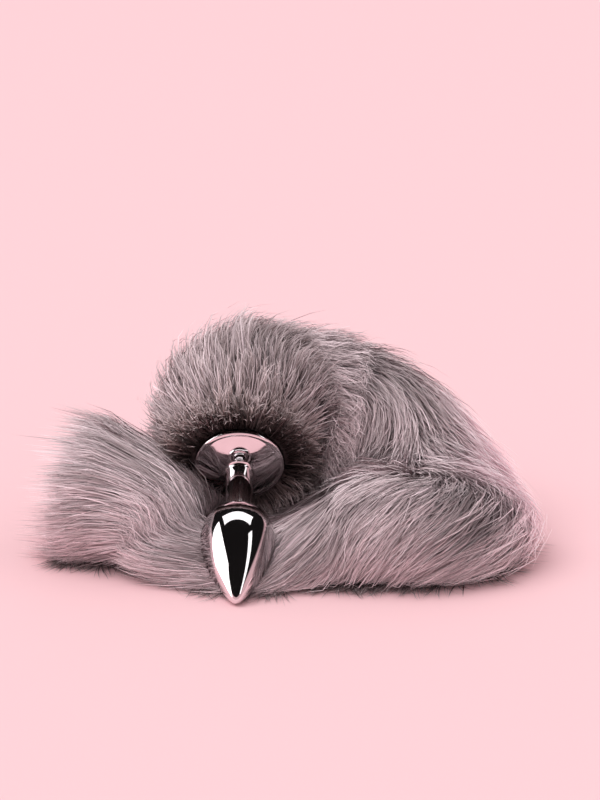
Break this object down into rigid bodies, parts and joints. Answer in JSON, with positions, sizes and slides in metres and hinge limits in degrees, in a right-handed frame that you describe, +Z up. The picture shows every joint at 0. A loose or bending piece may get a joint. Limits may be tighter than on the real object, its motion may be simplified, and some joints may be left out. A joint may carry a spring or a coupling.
{
  "type": "fox tail butt plug",
  "caption": "Mirror-chrome plug with an egg-shaped bulb, narrow neck and round flange, joined to a long bushy grey-brown fox tail that lies curled in a loop",
  "frame": {"origin": "on the surface that the part lies on, under the middle of its box", "axes": "+Z is up from the surface, the plug's nose points along -Y and 27 degrees down, and +X is to the right of someone who looks at the nose"},
  "size_m": [0.1908, 0.1512, 0.083],
  "materials": {
    "plug": "mirror polish",
    "tail_post": "plain turned",
    "fur_tail": "long soft fur, dark brown at the root and pale grey at the tips"
  },
  "bodies": {
    "root": {"plug": "plug", "tail_post": "tail_post", "fur_tail": "fur_tail"}
  },
  "joints": []
}
